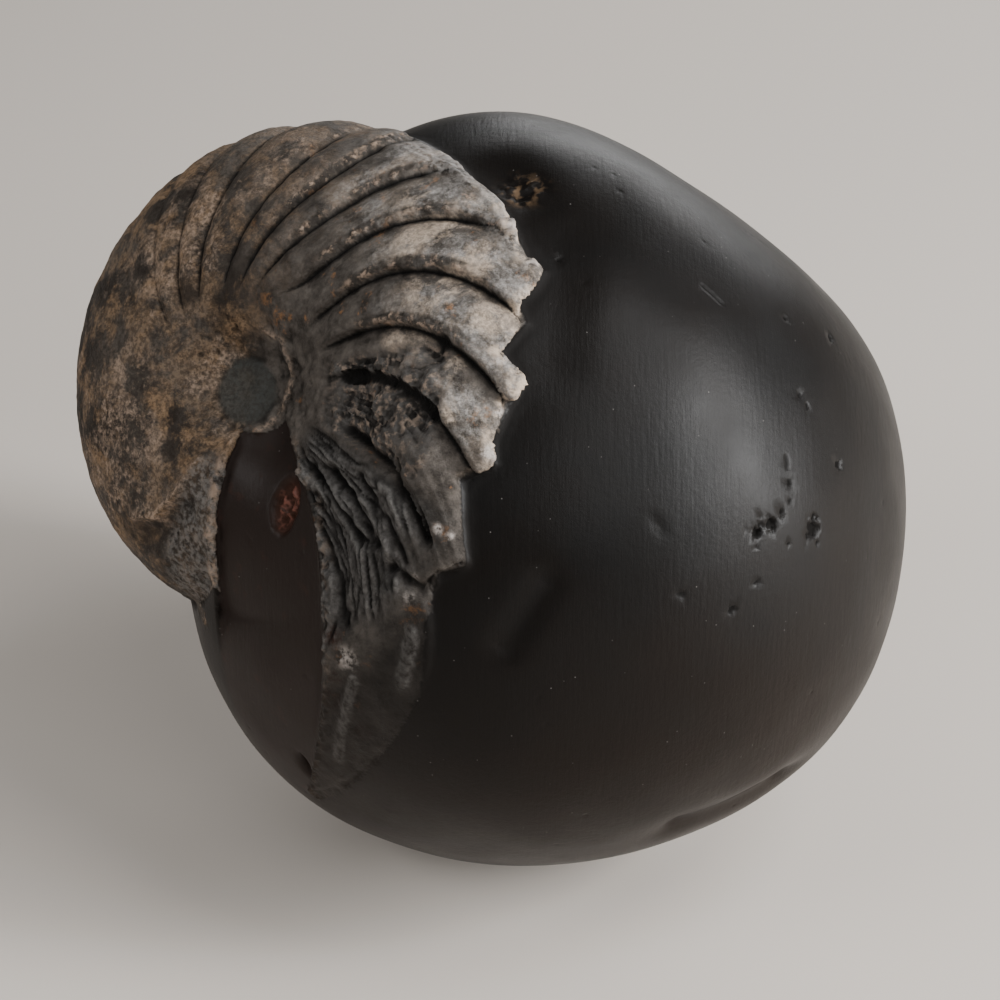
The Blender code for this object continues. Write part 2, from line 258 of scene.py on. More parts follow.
def newObject(name, mesh):
    data = bpy.data.meshes.new(name)
    mesh.to_mesh(data)
    mesh.free()
    item = bpy.data.objects.new(name, data)
    bpy.context.scene.collection.objects.link(item)
    return item


def applied(item):
    # the object's mesh with its modifiers worked in, and the modifiers gone
    bpy.context.view_layer.update()
    data = bpy.data.meshes.new_from_object(item.evaluated_get(bpy.context.evaluated_depsgraph_get()))
    item.modifiers.clear()
    item.data = data
    return item


def withModifier(item, kind, **settings):
    modifier = item.modifiers.new(kind.title(), kind)
    for key, value in settings.items():
        setattr(modifier, key, value)
    return applied(item)


def readPoints(data):
    points = np.empty(3 * len(data.vertices))
    data.vertices.foreach_get("co", points)
    return points.reshape(-1, 3)


def readNormals(data):
    normals = np.empty(3 * len(data.vertices))
    data.vertex_normals.foreach_get("vector", normals)
    return normals.reshape(-1, 3)


def writePoints(data, points):
    data.vertices.foreach_set("co", points.ravel())
    data.update()


def writeMask(data, name, values):
    layer = data.attributes.get(name) or data.attributes.new(name, "FLOAT", "POINT")
    layer.data.foreach_set("value", np.asarray(values, np.float32))


whole = noduleMesh()
coilData = bpy.data.meshes.new("coil")
coilMesh().to_mesh(coilData)
whole.from_mesh(coilData)
fossil = newObject("ammonite_fossil", whole)
withModifier(fossil, "REMESH", mode="VOXEL", voxel_size=skin["voxel"])
withModifier(fossil, "SMOOTH", factor=0.5, iterations=skin["smoothing"])
print("skin made,", len(fossil.data.polygons), "faces")


def settleNodule(data):
    # the bare nodule goes back onto its exact shape, so that its polish stays even
    points = readPoints(data)
    radius, angle, height = coilPlace(points)
    held = np.minimum(angle, coilEnd)
    away = smooth(radius - edgeRadius(held), 0.004, 0.010)
    away = np.where(height < -0.05, 1.0, away) * (np.abs(noduleGap(points)) < 0.0006)
    offset = points - noduleCentre
    exact = noduleCentre + unitRows(offset) * noduleRadius(unitRows(offset))[:, None]
    writePoints(data, points + (exact - points) * away[:, None])


def unitRows(vectors):
    return vectors / np.linalg.norm(vectors, axis=-1)[..., None]


settleNodule(fossil.data)

# ribs: angle of each groove at the middle radius, and its depth
ribShape = {
    "middle": 0.036,
    "grooves": [
        (-182, 0.0001), (-168, 0.0001), (-154, 0.0001), (-140, 0.0001), (-126, 0.0001), (-112, 0.0001),
        (-98, 0.0001), (-84, 0.0002), (-70, 0.0003), (-56, 0.0005), (-43, 0.0008), (-30, 0.0011), (-11, 0.0013),
        (1, 0.0014), (13.5, 0.0015), (27.5, 0.0017), (43, 0.0017), (59.5, 0.0018), (76, 0.0014), (94, 0.0004),
    ],
    "inner": (0.014, 0.022),
    "keelBand": (-0.0045, -0.0015),
    "depthScale": 1.25,
    "riblets": 0.00005,
    # height of a rib across its width, as a shingle and as a round rib
    "shingle": [(0, 0), (0.02, 0.10), (0.08, 0.26), (0.22, 0.50), (0.48, 0.80), (0.72, 0.97), (0.88, 1.0),
                (0.945, 0.94), (0.975, 0.50), (1, 0)],
    "round": [(0, 0), (0.04, 0.16), (0.15, 0.52), (0.35, 0.88), (0.55, 1.0), (0.75, 0.90), (0.90, 0.55), (1, 0)],
    "crumbStrip": (0.80, 0.97),
    "crumbRadii": (0.026, 0.048),
    "crumbSize": 0.0011,
    "crumbHeight": 0.00060,
}


def ribPlace(radius, angle):
    offset = radius - ribShape["middle"]
    bend = (-20 + 42 * smooth(angle, 0, 30)) * offset * abs(offset) * np.sign(offset) * 1000
    grooves = np.array([groove for groove, _ in ribShape["grooves"]])
    return np.interp(angle - (750 * offset + bend), grooves, np.arange(len(grooves)))


def around(radius, angle):
    turn = np.radians(angle)
    return np.stack([radius * np.sin(turn), radius * np.cos(turn)], -1)


def segmentDistance(points, start, end):
    start = np.array(start)
    along = np.array(end) - start
    share = np.clip((points - start) @ along / max(along @ along, 1e-12), 0, 1)
    return np.linalg.norm(points - start - share[..., None] * along, axis=-1)


def pathDistance(points, path):
    return np.min([segmentDistance(points, first, second) for first, second in zip(path, path[1:])], axis=0)


def rough(points, scale, seed, octaves=3):
    shift = Vector((seed, 0, 0))
    return np.array([noise.fractal(Vector(point) * scale + shift, 1.0, 2.0, octaves) for point in points])


def grains(points, size, seed):
    # rounded crumbs, 1 in the middle of each and 0 in the gaps
    shift = Vector((seed, 0, 0))
    nearest = [noise.voronoi(Vector(point) / size + shift)[0][0] for point in points]
    return np.clip(1 - 1.5 * np.array(nearest), 0, 1)


def chipped(points, scale, seed, octaves, steps):
    # broken rock: flat steps with sharp ledges between them
    value = rough(points, scale, seed, octaves) * steps
    return (np.floor(value) + smooth(value - np.floor(value), 0.65, 1.0)) / steps


def where(mask, points, pattern, *values):
    # the pattern worked out only where the mask is above nothing
    result = np.zeros(len(points))
    chosen = mask > 0.004
    if chosen.any():
        result[chosen] = pattern(points[chosen], *values)
    return result * mask


def onCoil(points):
    radius, angle, height = coilPlace(points)
    held = np.minimum(angle, coilEnd)
    flank = np.full(len(points), -1.0)
    near = (radius < 0.075) & (height > -0.04)
    flank[near] = flankHeight(radius[near], held[near], noduleHeight(radius[near], held[near]))
    onFlank = (np.abs(height - flank) < 0.0010) & (radius < 1.02 * edgeRadius(held))
    free = (noduleGap(points) > 0.0015) & (radius < 0.056) & (angle < 45)
    inHub = (radius < 0.0078) & (height > -0.02)
    return ((onFlank | free) & (angle < wedgeEdge(radius))) | inHub


points = readPoints(fossil.data)
radius, angle, height = coilPlace(points)
coilShare = onCoil(points).astype(float)
fromEdge = radius - edgeRadius(np.minimum(angle, coilEnd))
place = ribPlace(radius, angle)
number = np.clip(np.floor(place).astype(int), 0, len(ribShape["grooves"]) - 2)
grooveDepths = np.array([depth for _, depth in ribShape["grooves"]])
ribDepth = grooveDepths[number] * (1 - (place - number)) + grooveDepths[number + 1] * (place - number)
keel = between(angle, 8, 50, 6) * smooth(fromEdge, *ribShape["keelBand"]) * coilShare
ribDepth = ribDepth * smooth(radius, *ribShape["inner"]) * coilShare * (place < len(grooveDepths) - 1.01)
ribDepth = ribDepth * (1 - 0.85 * keel)
writeMask(fossil.data, "coil", coilShare)
writeMask(fossil.data, "ribPlace", place)
writeMask(fossil.data, "ribDepth", ribDepth)
writeMask(fossil.data, "shingle", smooth(angle, -10, 30) * coilShare)
print("ribs placed")


def newTree(name, inputs):
    tree = bpy.data.node_groups.new(name, "GeometryNodeTree")
    tree.interface.new_socket("Geometry", in_out="INPUT", socket_type="NodeSocketGeometry")
    for label, kind, value in inputs:
        socket = tree.interface.new_socket(label, in_out="INPUT", socket_type="NodeSocket" + kind)
        if value is not None:
            socket.default_value = value
    tree.interface.new_socket("Geometry", in_out="OUTPUT", socket_type="NodeSocketGeometry")
    return tree


def addNode(tree, kind, values=(), **settings):
    node = tree.nodes.new(kind)
    for key, value in settings.items():
        setattr(node, key, value)
    for socket, value in dict(values).items():
        if isinstance(value, bpy.types.NodeSocket):
            tree.links.new(value, node.inputs[socket])
        else:
            node.inputs[socket].default_value = value
    return node


def math2(tree, operation, first, second=0.0, clamp=False):
    return addNode(tree, "ShaderNodeMath", {0: first, 1: second}, operation=operation, use_clamp=clamp).outputs[0]


def named(tree, name):
    return addNode(tree, "GeometryNodeInputNamedAttribute", {"Name": name}, data_type="FLOAT").outputs[0]


def endTree(tree, geometry, material):
    real = addNode(tree, "GeometryNodeRealizeInstances", {0: geometry}).outputs[0]
    dressed = addNode(tree, "GeometryNodeSetMaterial", {"Geometry": real, "Material": material}).outputs[0]
    tree.links.new(dressed, addNode(tree, "NodeGroupOutput").inputs[0])


def moveAlongNormal(tree, geometry, amount):
    normal = addNode(tree, "GeometryNodeInputNormal").outputs[0]
    offset = addNode(tree, "ShaderNodeVectorMath", {0: normal, "Scale": amount}, operation="SCALE").outputs[0]
    return addNode(tree, "GeometryNodeSetPosition", {"Geometry": geometry, "Offset": offset}).outputs[0]


def floatCurve(tree, value, corners):
    node = addNode(tree, "ShaderNodeFloatCurve", {"Value": value})
    line = node.mapping.curves[0]
    for point, corner in zip(line.points, (corners[0], corners[-1])):
        point.location = corner
    for corner in corners[1:-1]:
        line.points.new(*corner)
    node.mapping.update()
    return node.outputs[0]


def ribTree():
    # plates that rise slowly and drop into the next groove, with fine growth lines on them
    tree = newTree("ribsOnTheWhorl", [
        ("Depth Scale", "Float", ribShape["depthScale"]),
        ("Riblets", "Float", ribShape["riblets"]),
        ("Stone", "Material", None),
    ])
    given = addNode(tree, "NodeGroupInput")
    share = math2(tree, "FRACT", named(tree, "ribPlace"))
    rounded = floatCurve(tree, share, ribShape["round"])
    shingle = floatCurve(tree, share, ribShape["shingle"])
    plate = addNode(tree, "ShaderNodeMix", {"Factor": named(tree, "shingle"), "A": rounded, "B": shingle}).outputs[0]
    stored = addNode(tree, "GeometryNodeStoreNamedAttribute",
                     {"Geometry": given.outputs["Geometry"], "Name": "plate", "Value": plate},
                     data_type="FLOAT", domain="POINT").outputs[0]
    raised = math2(tree, "MULTIPLY", math2(tree, "SUBTRACT", plate, 0.65), given.outputs["Depth Scale"])
    main = math2(tree, "MULTIPLY", raised, named(tree, "ribDepth"))
    fine = math2(tree, "SINE", math2(tree, "MULTIPLY", named(tree, "ribPlace"), 14 * math.pi))
    fine = math2(tree, "MULTIPLY", fine, math2(tree, "MULTIPLY", given.outputs["Riblets"], named(tree, "shingle")))
    endTree(tree, moveAlongNormal(tree, stored, math2(tree, "ADD", main, fine)), given.outputs["Stone"])
    return tree


def growFrom(item, tree, values):
    modifier = item.modifiers.new(tree.name, "NODES")
    modifier.node_group = tree
    sockets = {s.name: s.identifier for s in tree.interface.items_tree if s.in_out == "INPUT"}
    for label, value in values.items():
        modifier[sockets[label]] = value
    return applied(item)


stoneLook = bpy.data.materials.new("fossilStone")
growFrom(fossil, ribTree(), {"Stone": stoneLook})
print("ribs grown")

# marks on the shell as (radius, angle) about the hub, lengths in metres
shellMarks = {
    "plug": (0.0026, -123),
    "plugRadius": 0.0056,
    "plugHeight": 0.0007,
    "hubRim": [(0.0076, 161), (0.0062, 130), (0.0056, 97), (0.0066, 72), (0.0072, 52), (0.0094, 20), (0.0098, -6)],
    "flankRidge": [(0.0335, -148), (0.0289, -156), (0.0221, -161), (0.0154, -163)],
    "flankHollow": [(0.0345, -154), (0.0300, -162), (0.0235, -167)],
    "crustRadii": (0.017, 0.042),
    "crustAngles": (64, 95),
    "crustDepth": 0.0009,
    "streakPitch": 5.5,
    "streakDepth": 0.0004,
    "streakBend": 1200,
    # path, half width and depth of single grooves
    "grooves": [
        ([(0.0232, 92), (0.0367, 96), (0.0424, 101), (0.0470, 105)], 0.0011, 0.0019),
        ([(0.0198, 116), (0.0289, 116), (0.0377, 116)], 0.0008, 0.0010),
        ([(0.0239, 109), (0.0321, 111), (0.0398, 114)], 0.0009, 0.0012),
        ([(0.0300, 103), (0.0400, 107), (0.0460, 112)], 0.0007, 0.0010),
        ([(0.0444, 115), (0.0500, 114), (0.0521, 109), (0.0537, 106)], 0.0010, 0.0012),
        ([(0.0280, 126), (0.0380, 128), (0.0450, 133)], 0.0008, 0.0009),
    ],
    # path, half width and height of single ridges
    "ridges": [
        ([(0.0482, 18), (0.0484, 24), (0.0490, 29), (0.0512, 38), (0.0518, 44)], 0.0006, 0.0004),
        ([(0.0530, 121.5), (0.0572, 130)], 0.0014, 0.0008),
        ([(0.0529, 138), (0.0628, 151)], 0.0012, 0.0005),
        ([(0.0328, 107), (0.0441, 112)], 0.0008, 0.0007),
        ([(0.0448, 58), (0.0506, 62)], 0.0006, 0.0004),
    ],
    # middle, radius and height of crusty knobs on the ragged edge
    "knobs": [
        ((0.0522, 45), 0.0022, 0.0009), ((0.0540, 53), 0.0016, 0.0006), ((0.0524, 74), 0.0026, 0.0009),
        ((0.0507, 86), 0.0015, 0.0008), ((0.0508, 79), 0.0012, 0.0005), ((0.0536, 62), 0.0018, 0.0005),
        ((0.0458, 57), 0.0018, 0.0004),
    ],
}

# pale, worn, tan and red places, places of painted shade (dark) and a painted light band (light), as (radius, angle),
# with their reach in metres
shellPatches = {
    "pale": [
        ((0.0480, 102), 0.0008), ((0.0500, 102), 0.0006), ((0.0494, 117), 0.0009), ((0.0482, 113), 0.0006),
        ((0.0497, 137), 0.0020), ((0.0543, 53), 0.0009), ((0.0530, 58), 0.0008), ((0.0507, 86), 0.0011),
        ((0.0508, 79), 0.0007), ((0.0545, 63), 0.0008), ((0.0500, 70), 0.0007), ((0.0522, 45), 0.0008),
    ],
    "streaks": [([(0.0530, 121.5), (0.0572, 130)], 0.0013), ([(0.0529, 138), (0.0628, 151)], 0.0011)],
    "tan": [
        ((0.0450, 38), 0.0050), ((0.0460, 50), 0.0050), ((0.0400, 52), 0.0050), ((0.0430, 30), 0.0050),
        ((0.0480, 62), 0.0035), ((0.0425, 70), 0.0025), ((0.0380, 66), 0.0030), ((0.0440, 80), 0.0020),
        ((0.0330, 60), 0.0030), ((0.0390, 38), 0.0040),
    ],
    # dark: painted shade around the hub's hollow and in the flank hollow
    "dark": [((0.0125, -30), 0.0060), ((0.0135, 8), 0.0035), ((0.0200, -52), 0.0035), ((0.0360, -150), 0.0040),
             ((0.0390, -165), 0.0035)],
    # light: a painted light band along the rounded flank of the free whorl
    "light": [((0.0330, -45), 0.0075), ((0.0300, -62), 0.0060), ((0.0250, -100), 0.0060), ((0.0220, -135), 0.0040)],
    "red": [((0.0460, 137), 0.0020), ((0.0500, 141), 0.0022), ((0.0541, 145), 0.0020), ((0.0600, 143), 0.0020)],
}

# marks on the nodule as offsets from its centre
noduleMarks = {
    # middle, half width and depth
    "pits": [
        ((0.0350, -0.0482, 0.0244), 0.0013, 0.0008), ((0.0372, -0.0467, 0.0249), 0.0013, 0.0008),
        ((0.0361, -0.0474, 0.0255), 0.0010, 0.0006), ((0.0453, -0.0413, 0.0205), 0.0017, 0.0007),
        ((0.0397, -0.0452, 0.0258), 0.0006, 0.0004), ((0.0411, -0.0418, 0.0293), 0.0005, 0.0003),
        ((0.0413, -0.0430, 0.0270), 0.0004, 0.0002), ((0.0355, -0.0521, 0.0170), 0.0005, 0.0003),
        ((0.0412, -0.0462, 0.0206), 0.0005, 0.0004), ((0.0446, -0.0308, 0.0375), 0.0006, 0.0003),
        ((0.0434, -0.0307, 0.0393), 0.0005, 0.0003), ((0.0314, -0.0556, 0.0142), 0.0006, 0.0003),
        ((0.0233, -0.0584, 0.0194), 0.0007, 0.0002), ((0.0419, -0.0103, 0.0513), 0.0004, 0.0003),
        ((0.0416, -0.0204, 0.0482), 0.0004, 0.0003), ((0.0502, -0.0142, 0.0412), 0.0006, 0.0003),
        ((0.0503, -0.0322, 0.0269), 0.0007, 0.0004), ((0.0374, -0.0031, 0.0560), 0.0007, 0.0004),
        ((0.0035, -0.0278, 0.0625), 0.0007, 0.0004),
    ],
    # both ends, half width and depth
    "troughs": [
        ((-0.0045, -0.0638, 0.0132), (0.0013, -0.0614, 0.0231), 0.0028, 0.0009),
        ((0.0252, -0.0490, -0.0344), (0.0431, -0.0390, -0.0329), 0.0045, 0.0016),
        ((0.0043, -0.0253, 0.0648), (0.0030, -0.0433, 0.0528), 0.0060, 0.0009),
        ((-0.0053, -0.0106, 0.0695), (-0.0020, -0.0150, 0.0680), 0.0055, 0.0016),
        ((0.0183, -0.0565, 0.0325), (0.0198, -0.0555, 0.0290), 0.0010, 0.0002),
        ((-0.0388, -0.0468, -0.0215), (-0.0388, -0.0480, -0.0255), 0.0012, 0.0022),
    ],
    "cracks": [
        ((0.0083, -0.0332, 0.0592), (0.0071, -0.0375, 0.0563), 0.0004, 0.0003),
        ((0.0071, -0.0375, 0.0563), (0.0052, -0.0413, 0.0532), 0.0004, 0.0003),
        ((0.0271, -0.0258, 0.0569), (0.0302, -0.0270, 0.0542), 0.0004, 0.0003),
        ((0.0407, -0.0396, 0.0330), (0.0409, -0.0404, 0.0318), 0.0004, 0.0003),
        ((0.0252, -0.0505, -0.0330), (0.0431, -0.0405, -0.0310), 0.0006, 0.0005),
        ((0.0290, -0.0480, -0.0335), (0.0410, -0.0420, -0.0330), 0.0006, 0.0005),
    ],
    "rustPit": (0.0216, 140),
    "rustHalf": (0.0028, 0.0048),
    "rustDepth": 0.0015,
    "crumblyPlace": ((0.0537, 36, -0.0165), 0.0040),
}


def onPath(flat, path, halfWidth):
    return np.exp(-(pathDistance(flat, [around(*corner) for corner in path]) / halfWidth) ** 2)


def inPatch(flat, middle, reach):
    return np.exp(-(np.linalg.norm(flat - around(*middle), axis=-1) / reach) ** 4)


def lipOfWedge(radius, angle):
    return (wedgeEdge(radius) - angle) * np.radians(radius)  # metres from the edge of the wedge, on the fan's side


def shellRelief(points, radius, angle):
    flat = around(radius, angle)
    marks = shellMarks
    masks = {}
    plug = np.linalg.norm(flat - around(*marks["plug"]), axis=-1)
    relief = marks["plugHeight"] * (1 - smooth(plug, 0.75 * marks["plugRadius"], marks["plugRadius"]))
    masks["hub"] = 1 - smooth(plug, 0.9 * marks["plugRadius"], 1.1 * marks["plugRadius"])
    masks["hubRim"] = onPath(flat, marks["hubRim"], 0.0005)
    relief += 0.0003 * masks["hubRim"]
    hubCrumbs = (1 - smooth(radius, 0.011, 0.017)) * (1 - masks["hub"])
    relief += where(hubCrumbs, points, rough, 500, 41, 4) * 0.0005
    masks["flankRidge"] = onPath(flat, marks["flankRidge"], 0.0010)
    masks["flankHollow"] = onPath(flat, marks["flankHollow"], 0.0020)
    relief += 0.0010 * masks["flankRidge"] - 0.0010 * masks["flankHollow"]
    seam = radius * np.radians(angle - coilStart)
    masks["lip"] = np.exp(-((seam - 0.0006) / 0.0011) ** 2) * smooth(radius, 0.006, 0.012)
    relief += 0.0005 * masks["lip"]
    masks["grey"] = between(radius, 0.014, 0.041, 0.002) * between(angle, -190, -163, 3)
    relief += where(masks["grey"], points, rough, 420, 23, 4) * 0.0004

    crust = between(radius, *marks["crustRadii"], 0.001) * between(angle, *marks["crustAngles"], 2)
    masks["crust"] = np.clip(crust * (1 + where(crust, points, rough, 160, 3, 4)), 0, 1)
    relief -= masks["crust"] * marks["crustDepth"]
    relief += where(masks["crust"], points, chipped, 170, 5, 3, 4) * 0.0012

    fan = smooth(angle, 96, 101) * smooth(radius, 0.013, 0.019)
    fan = fan * (1 - 0.9 * smooth(radius + 0.004 * rough(points, 150, 37, 3), 0.043, 0.051))
    bent = angle - marks["streakBend"] * np.maximum(radius - 0.038, 0)
    lines = np.stack([bent / marks["streakPitch"], radius / 0.015, 0 * radius], -1)
    cracks = 1 - smooth(np.abs(where(fan, lines, rough, 1.0, 7, 2)), 0.0, 0.16)
    relief -= fan * marks["streakDepth"] * cracks
    fineLines = np.stack([bent / 1.5, radius / 0.012, 0 * radius], -1)
    relief += where(fan, fineLines, rough, 1.0, 25, 2) * 0.0003
    slabs = np.stack([bent / 7, radius / 0.009, 0 * radius], -1)
    relief += where(fan, slabs, chipped, 1.0, 21, 3, 5) * 0.0009
    relief += where(fan, points, chipped, 230, 11, 2, 3) * 0.0006
    masks["fan"] = fan
    masks["streak"] = fan * cracks
    for path, halfWidth, depth in marks["grooves"]:
        relief -= depth * onPath(flat, path, halfWidth)
    for path, halfWidth, ridgeHeight in marks["ridges"]:
        relief += ridgeHeight * onPath(flat, path, halfWidth)
    for middle, reach, knobHeight in marks["knobs"]:
        knob = inPatch(flat, middle, reach)
        relief += knob * knobHeight * 0.5 + where(knob, points, rough, 600, 31, 4) * knobHeight * 0.9
    lip = lipOfWedge(radius, angle)
    masks["fanLip"] = np.exp(-((lip - 0.0008) / 0.0011) ** 2) * smooth(radius, 0.010, 0.016)
    relief += where(masks["fanLip"], points, grains, 0.0013, 13) * 0.0007

    share = place[coilShare > 0.5] % 1
    strip = between(share, *ribShape["crumbStrip"], 0.03) * between(radius, *ribShape["crumbRadii"], 0.003)
    strip = strip * between(angle, -8, 66, 6)
    masks["ledge"] = np.clip(strip * (1 + where(strip, points, rough, 250, 15, 3)), 0, 1)
    relief += where(masks["ledge"], points, grains, ribShape["crumbSize"], 17) * ribShape["crumbHeight"]
    relief -= 0.4 * ribShape["crumbHeight"] * masks["ledge"]
    edgeLines = np.sin(fromEdge[coilShare > 0.5] / 0.0008 * 2 * np.pi) * keel[coilShare > 0.5]
    relief += 0.00010 * edgeLines
    relief += rough(points, 420, 19, 3) * 0.00014
    return relief, masks


def patchMasks(points, radius, angle):
    flat = around(radius, angle)
    masks = {}
    for name in ("pale", "tan", "dark", "light", "red"):
        masks[name] = np.max([inPatch(flat, middle, reach) for middle, reach in shellPatches[name]], axis=0)
    streaks = np.max([onPath(flat, path, reach) for path, reach in shellPatches["streaks"]], axis=0)
    masks["worn"] = smooth(streaks, 0.35, 0.5)
    return masks


def noduleRelief(points, radius, angle):
    offset = points - noduleCentre
    ragged = points / 0.0012
    relief = rough(points, 45, 27, 2) * 0.00025
    cavity = np.zeros(len(points))
    for middle, halfWidth, depth in noduleMarks["pits"]:
        distance = np.linalg.norm(offset - middle, axis=-1)
        near = (distance < 4 * halfWidth).astype(float)
        distance = distance + where(near, ragged, rough, 1.0, 2, 3) * 1.3 * halfWidth
        pit = 1 - smooth(distance, 0.6 * halfWidth, 1.25 * halfWidth)
        relief -= depth * pit * near
        cavity = np.maximum(cavity, pit * near)
    for start, end, halfWidth, depth in noduleMarks["troughs"]:
        relief -= depth * np.exp(-(segmentDistance(offset, start, end) / halfWidth) ** 2)
    for start, end, halfWidth, depth in noduleMarks["cracks"]:
        crack = np.exp(-(segmentDistance(offset, start, end) / halfWidth) ** 2)
        relief -= depth * crack
        cavity = np.maximum(cavity, 0.7 * crack)
    crumblyMiddle, reach = noduleMarks["crumblyPlace"]
    middle = coilPoint(*(np.array(value) for value in crumblyMiddle))
    crumbly = np.exp(-(np.linalg.norm(points - middle, axis=-1) / reach) ** 4)
    relief += where(crumbly, points, rough, 330, 33, 4) * 0.0009 - 0.0004 * crumbly
    pit = (around(radius, angle) - around(*noduleMarks["rustPit"])) / noduleMarks["rustHalf"]
    rust = np.exp(-np.linalg.norm(pit, axis=-1) ** 8) * ((offset @ coilAxis > 0) & (radius < 0.04))
    relief -= rust * noduleMarks["rustDepth"]
    relief += where(rust, points, rough, 700, 5, 3) * 0.0009
    return relief, {"cavity": cavity, "rust": rust, "crumbly": crumbly}


def hollowness(data, rounds, depth):
    # how far each point lies below the average of its surroundings, from -1 to 1
    points = readPoints(data)
    edges = np.empty(2 * len(data.edges), int)
    data.edges.foreach_get("vertices", edges)
    first, second = edges.reshape(-1, 2).T
    count = np.bincount(edges, minlength=len(points))[:, None]
    average = points.copy()
    for _ in range(rounds):
        total = np.stack([np.bincount(first, average[second, k], len(points))
                          + np.bincount(second, average[first, k], len(points)) for k in range(3)], -1)
        average = 0.5 * average + 0.5 * total / count
    return np.clip(((average - points) * readNormals(data)).sum(1) / depth, -1, 1)


def carve(data):
    points = readPoints(data)
    coil = coilShare > 0.5
    bare = ~coil
    relief = np.zeros(len(points))
    relief[coil], shellMasks = shellRelief(points[coil], radius[coil], angle[coil])
    relief[bare], noduleMasks = noduleRelief(points[bare], radius[bare], angle[bare])
    writePoints(data, points + relief[:, None] * readNormals(data))
    for chosen, masks in ((coil, shellMasks), (bare, noduleMasks)):
        for name, values in masks.items():
            whole = np.zeros(len(points))
            whole[chosen] = values
            writeMask(data, name, whole)
    for name, values in patchMasks(points, radius, angle).items():
        writeMask(data, name, values * (height > -0.03))
    faded = smooth(radius, 0.046, 0.054) * smooth(angle, 108, 116) * coilShare
    writeMask(data, "coil", coilShare * (1 - 0.85 * faded))
    inWedge = bare & (angle > wedgeEdge(radius)) & (height > -0.05) & (radius < 0.09)
    writeMask(data, "wedge", inWedge * (1 - smooth(radius, 0.06, 0.09)))
    writeMask(data, "warm", coilShare * (1 - smooth(angle, -45, 25)))
    writeMask(data, "rim", coilShare * smooth(fromEdge, -0.0025, -0.0005) * between(angle, 35, 88, 8))
    writeMask(data, "keel", keel)
    writeMask(data, "outer", coilShare * smooth(radius, 0.025, 0.040) * between(angle, 5, 86, 8))
    writeMask(data, "hollow", hollowness(data, 12, 0.00035))
    writeMask(data, "deep", hollowness(data, 60, 0.0009))


carve(fossil.data)
print("relief carved")

# small pits strewn over the bare stone
pitShape = {"density": 9000.0, "reach": 0.00055, "depth": 0.00015, "seed": 4}


def pitTree():
    tree = newTree("pitsOnTheNodule", [
        ("Density", "Float", pitShape["density"]),
        ("Reach", "Float", pitShape["reach"]),
        ("Depth", "Float", pitShape["depth"]),
        ("Seed", "Int", pitShape["seed"]),
        ("Stone", "Material", None),
    ])
    given = addNode(tree, "NodeGroupInput")
    geometry = given.outputs["Geometry"]
    bare = math2(tree, "SUBTRACT", 1.0, named(tree, "coil"))
    where = addNode(tree, "GeometryNodeInputPosition").outputs[0]
    patches = addNode(tree, "ShaderNodeTexNoise", {"Vector": where, "Scale": 45.0, "Detail": 2.0}).outputs["Fac"]
    thick = math2(tree, "MULTIPLY", math2(tree, "SUBTRACT", patches, 0.48, clamp=True), 5.0)
    density = math2(tree, "MULTIPLY", math2(tree, "MULTIPLY", bare, thick), given.outputs["Density"])
    dots = addNode(tree, "GeometryNodeDistributePointsOnFaces",
                   {"Mesh": geometry, "Density": density, "Seed": given.outputs["Seed"]}).outputs["Points"]
    distance = addNode(tree, "GeometryNodeProximity", {"Geometry": dots}, target_element="POINTS").outputs["Distance"]
    grain = addNode(tree, "ShaderNodeTexNoise", {"Vector": where, "Scale": 1100.0, "Detail": 2.0}).outputs["Fac"]
    reach = math2(tree, "MULTIPLY", given.outputs["Reach"], math2(tree, "ADD", grain, 0.35))
    pit = math2(tree, "SUBTRACT", 1.0, math2(tree, "DIVIDE", distance, reach), clamp=True)
    pit = math2(tree, "MULTIPLY", pit, bare)
    stored = addNode(tree, "GeometryNodeStoreNamedAttribute", {"Geometry": geometry, "Name": "pit", "Value": pit},
                     data_type="FLOAT", domain="POINT").outputs[0]
    sunk = math2(tree, "MULTIPLY", math2(tree, "MULTIPLY", pit, given.outputs["Depth"]), -1.0)
    endTree(tree, moveAlongNormal(tree, stored, sunk), given.outputs["Stone"])
    return tree


growFrom(fossil, pitTree(), {"Stone": stoneLook})
print("pits strewn")

withModifier(fossil, "TRIANGULATE")
withModifier(fossil, "DECIMATE", ratio=skin["triangles"] / len(fossil.data.polygons))


def cutFoot(data):
    mesh = bmesh.new()
    mesh.from_mesh(data)
    geometry = mesh.verts[:] + mesh.edges[:] + mesh.faces[:]
    cut = bmesh.ops.bisect_plane(mesh, geom=geometry, plane_co=(0, 0, 0), plane_no=(0, 0, -1), clear_outer=True)
    edges = [edge for edge in cut["geom_cut"] if isinstance(edge, bmesh.types.BMEdge)]
    bmesh.ops.triangulate(mesh, faces=bmesh.ops.contextual_create(mesh, geom=edges)["faces"])
    bmesh.ops.recalc_face_normals(mesh, faces=mesh.faces[:])
    mesh.to_mesh(data)
    mesh.free()


cutFoot(fossil.data)
fossil.data.shade_smooth()
print("skin thinned,", len(fossil.data.polygons), "triangles,", [a.name for a in fossil.data.attributes])


def mask(tree, name):
    return addNode(tree, "ShaderNodeAttribute", attribute_name=name, attribute_type="GEOMETRY").outputs["Fac"]


def mixColour(tree, factor, first, second):
    node = addNode(tree, "ShaderNodeMix", data_type="RGBA")
    for socket, value in (("Factor", factor), ("A", first), ("B", second)):
        target = next(s for s in node.inputs if s.name == socket and s.enabled)
        if isinstance(value, bpy.types.NodeSocket):
            tree.links.new(value, target)
        else:
            target.default_value = value
    return next(s for s in node.outputs if s.enabled)


def mottle(tree, where, scale, low, high, detail=4.0, roughness=0.55, distortion=0.0):
    # noise cut to run from 0 at low to 1 at high
    fac = addNode(tree, "ShaderNodeTexNoise", {"Vector": where, "Scale": scale, "Detail": detail,
                  "Roughness": roughness, "Distortion": distortion}).outputs["Fac"]
    return ramp(tree, fac, low, high)


